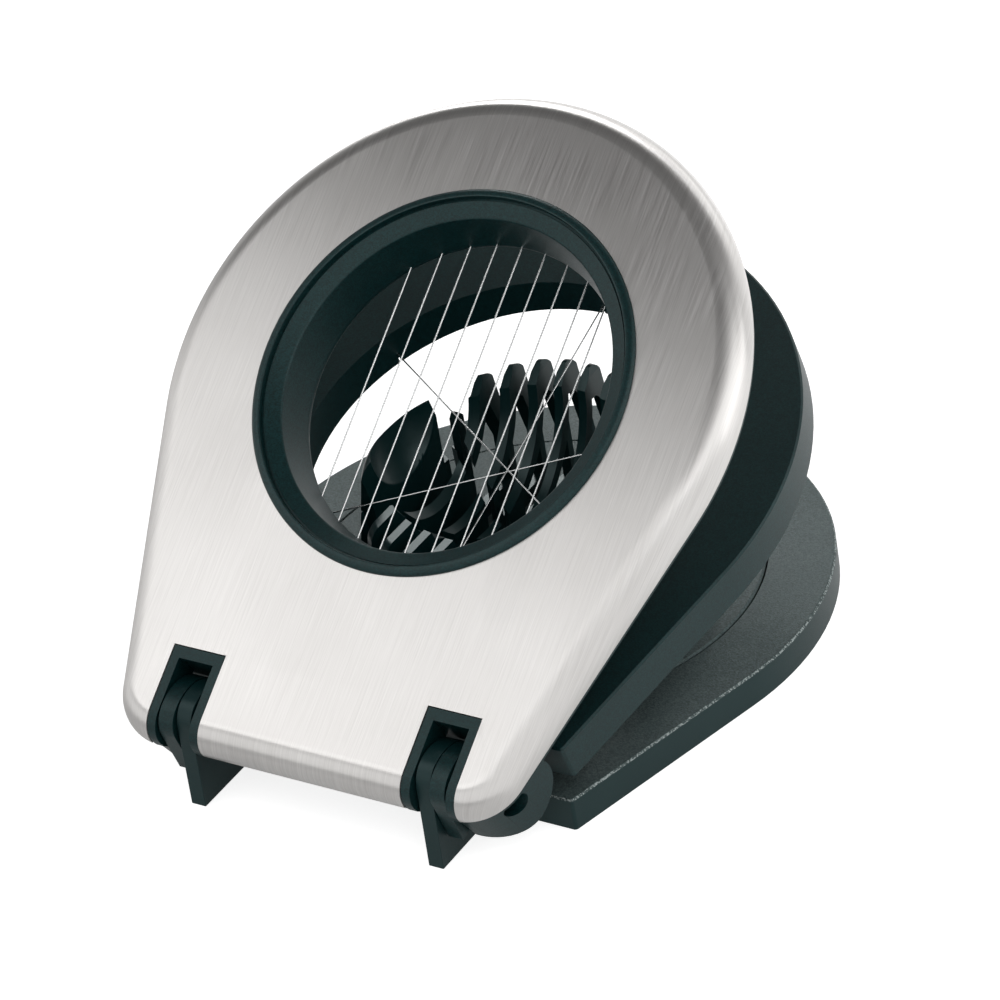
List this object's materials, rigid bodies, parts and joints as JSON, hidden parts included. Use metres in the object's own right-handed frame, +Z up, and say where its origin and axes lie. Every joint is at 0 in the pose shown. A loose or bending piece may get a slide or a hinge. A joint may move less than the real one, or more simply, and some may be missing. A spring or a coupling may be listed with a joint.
{
  "type": "egg cutter",
  "caption": "Hinged egg cutter: a base with a slotted egg cradle, a middle frame with crossed wedge wires, and a steel-faced top frame with parallel slicing wires.",
  "frame": {"origin": "on the underside of the base, straight below the centre of the egg cradle", "axes": "+Z up, +X along the egg and the hinge line, -Y towards the hinge"},
  "size_m": [0.1238, 0.1442, 0.0967],
  "materials": {
    "base_plastic": "dark green-grey plastic with a fine sparkling grain",
    "cradle_plastic": "glossy dark green-grey plastic",
    "frame_plastic": "satin dark green-grey plastic",
    "carrier_plastic": "satin dark green-grey plastic",
    "bezel_plastic": "glossy near-black plastic",
    "cover_steel": "stainless sheet, brushed along the leaf, with a bright rolled edge",
    "wire_steel": "bright drawn stainless wire",
    "pin_steel": "dull turned steel",
    "screw_steel": "zinc-plated steel"
  },
  "bodies": {
    "base": {"base_plate": "base_plastic", "egg_cradle": "cradle_plastic", "cradle_screws": "screw_steel"},
    "middle_leaf": {"middle_frame": "frame_plastic", "wedge_clamp_ring": "frame_plastic", "clamp_screws": "screw_steel", "wedge_wire_1": "wire_steel", "wedge_wire_2": "wire_steel", "wedge_wire_3": "wire_steel"},
    "top_leaf": {"top_carrier": "carrier_plastic", "steel_cover": "cover_steel", "bezel_ring": "bezel_plastic", "bezel_screws": "screw_steel", "slicing_wire_1": "wire_steel", "slicing_wire_2": "wire_steel", "slicing_wire_3": "wire_steel", "slicing_wire_4": "wire_steel", "slicing_wire_5": "wire_steel", "slicing_wire_6": "wire_steel", "slicing_wire_7": "wire_steel", "slicing_wire_8": "wire_steel", "slicing_wire_9": "wire_steel", "hinge_pin_left": "pin_steel", "hinge_pin_right": "pin_steel"}
  },
  "joints": [
    {"name": "middle_hinge", "type": "hinge", "parent": "base", "child": "middle_leaf", "pos_m": [0, -0.0747, 0.0139], "axis": [1, 0, 0], "range_deg": [-18.3, 81.7]},
    {"name": "top_hinge", "type": "hinge", "parent": "middle_leaf", "child": "top_leaf", "pos_m": [0, -0.0747, 0.0139], "axis": [1, 0, 0], "range_deg": [-16.2, 63.8]}
  ]
}
